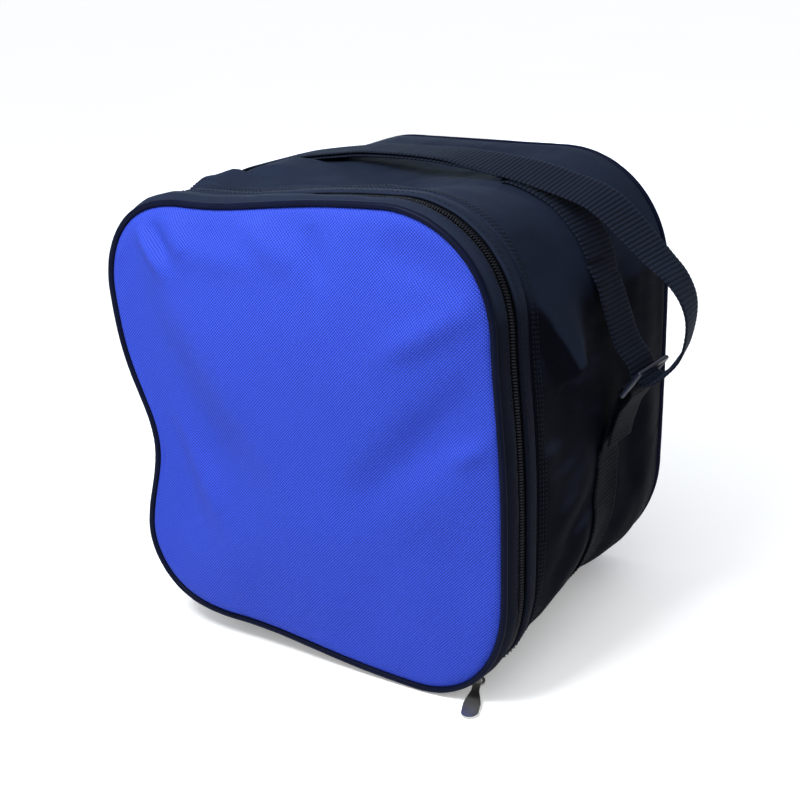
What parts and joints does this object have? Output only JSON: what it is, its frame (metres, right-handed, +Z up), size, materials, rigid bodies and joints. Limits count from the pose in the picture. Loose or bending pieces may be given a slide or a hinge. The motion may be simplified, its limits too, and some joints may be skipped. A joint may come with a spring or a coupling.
{
  "type": "bowling ball bag",
  "caption": "Soft square-fronted bag that holds and carries one bowling ball; the padded front opens on a zip round its edge and a webbing strap loops through a ring on each side.",
  "frame": {"origin": "centre of the whole part's bounding box on the floor the bag stands on", "axes": "+Z up; the blue opening front faces -Y; +X is the right side seen from the front, where the zip slider stands"},
  "size_m": [0.3663, 0.2397, 0.2963],
  "materials": {
    "blue_fabric": "coarse basket-weave polyester, matt",
    "black_fabric": "coated nylon, slight sheen",
    "lining": "thin smooth polyester",
    "foam": "soft closed-cell foam",
    "piping": "soft vinyl, satin",
    "zip_tape": "fine woven tape",
    "zip_coil": "moulded nylon",
    "nickel": "bright nickel plate",
    "ring": "dark semi-gloss enamel on wire",
    "webbing": "ribbed polypropylene webbing",
    "slide_plastic": "moulded acetal",
    "board": "stiff polypropylene sheet"
  },
  "bodies": {
    "bag": {"zip_tape_body": "zip_tape", "zip_coil_body": "zip_coil", "zip_stop_body": "nickel", "zip_end_tapes": "zip_tape", "zip_bottom_stop": "nickel", "hinge_strip": "black_fabric", "body_band": "black_fabric", "body_gusset": "black_fabric", "bottom_panel": "black_fabric", "back_panel": "black_fabric", "back_piping": "piping", "body_lining": "lining", "back_lining": "lining", "base_board": "board", "ball_cup": "foam", "side_webbing_right": "webbing", "side_webbing_left": "webbing"},
    "lid": {"front_panel": "blue_fabric", "lid_padding": "foam", "lid_lining": "lining", "front_piping": "piping", "front_band": "black_fabric", "zip_tape_lid": "zip_tape", "zip_coil_lid": "zip_coil", "zip_stop_lid": "nickel"},
    "slider": {"zip_slider": "nickel"},
    "pull": {"zip_pull": "nickel"},
    "right_ring": {"ring_right": "ring"},
    "left_ring": {"ring_left": "ring"},
    "handle": {"handle_strap": "webbing", "strap_slide": "slide_plastic"}
  },
  "joints": [
    {"name": "lid_hinge", "type": "hinge", "parent": "bag", "child": "lid", "pos_m": [0, -0.10715, 0], "axis": [1, 0, 0], "range_deg": [0, 90]},
    {"name": "zip_run", "type": "hinge", "parent": "bag", "child": "slider", "pos_m": [0.067, -0.08715, 0.069], "axis": [0, -1, 0], "range_deg": [0, 58]},
    {"name": "pull_flip", "type": "hinge", "parent": "slider", "child": "pull", "pos_m": [0.1044, -0.08715, 0.0053], "axis": [-0.9285, -0.3714, 0], "range_deg": [0, 22]},
    {"name": "right_ring_swing", "type": "hinge", "parent": "bag", "child": "right_ring", "pos_m": [0.153, 0.0239, 0.163], "axis": [0, 1, 0], "range_deg": [-15, 0]},
    {"name": "left_ring_swing", "type": "hinge", "parent": "bag", "child": "left_ring", "pos_m": [-0.153, 0.0239, 0.163], "axis": [0, -1, 0], "range_deg": [-15, 0]},
    {"name": "handle_lift", "type": "slide", "parent": "bag", "child": "handle", "axis": [0, 0, 1], "range_m": [0, 0.04], "deforming": ["handle_strap"]}
  ]
}
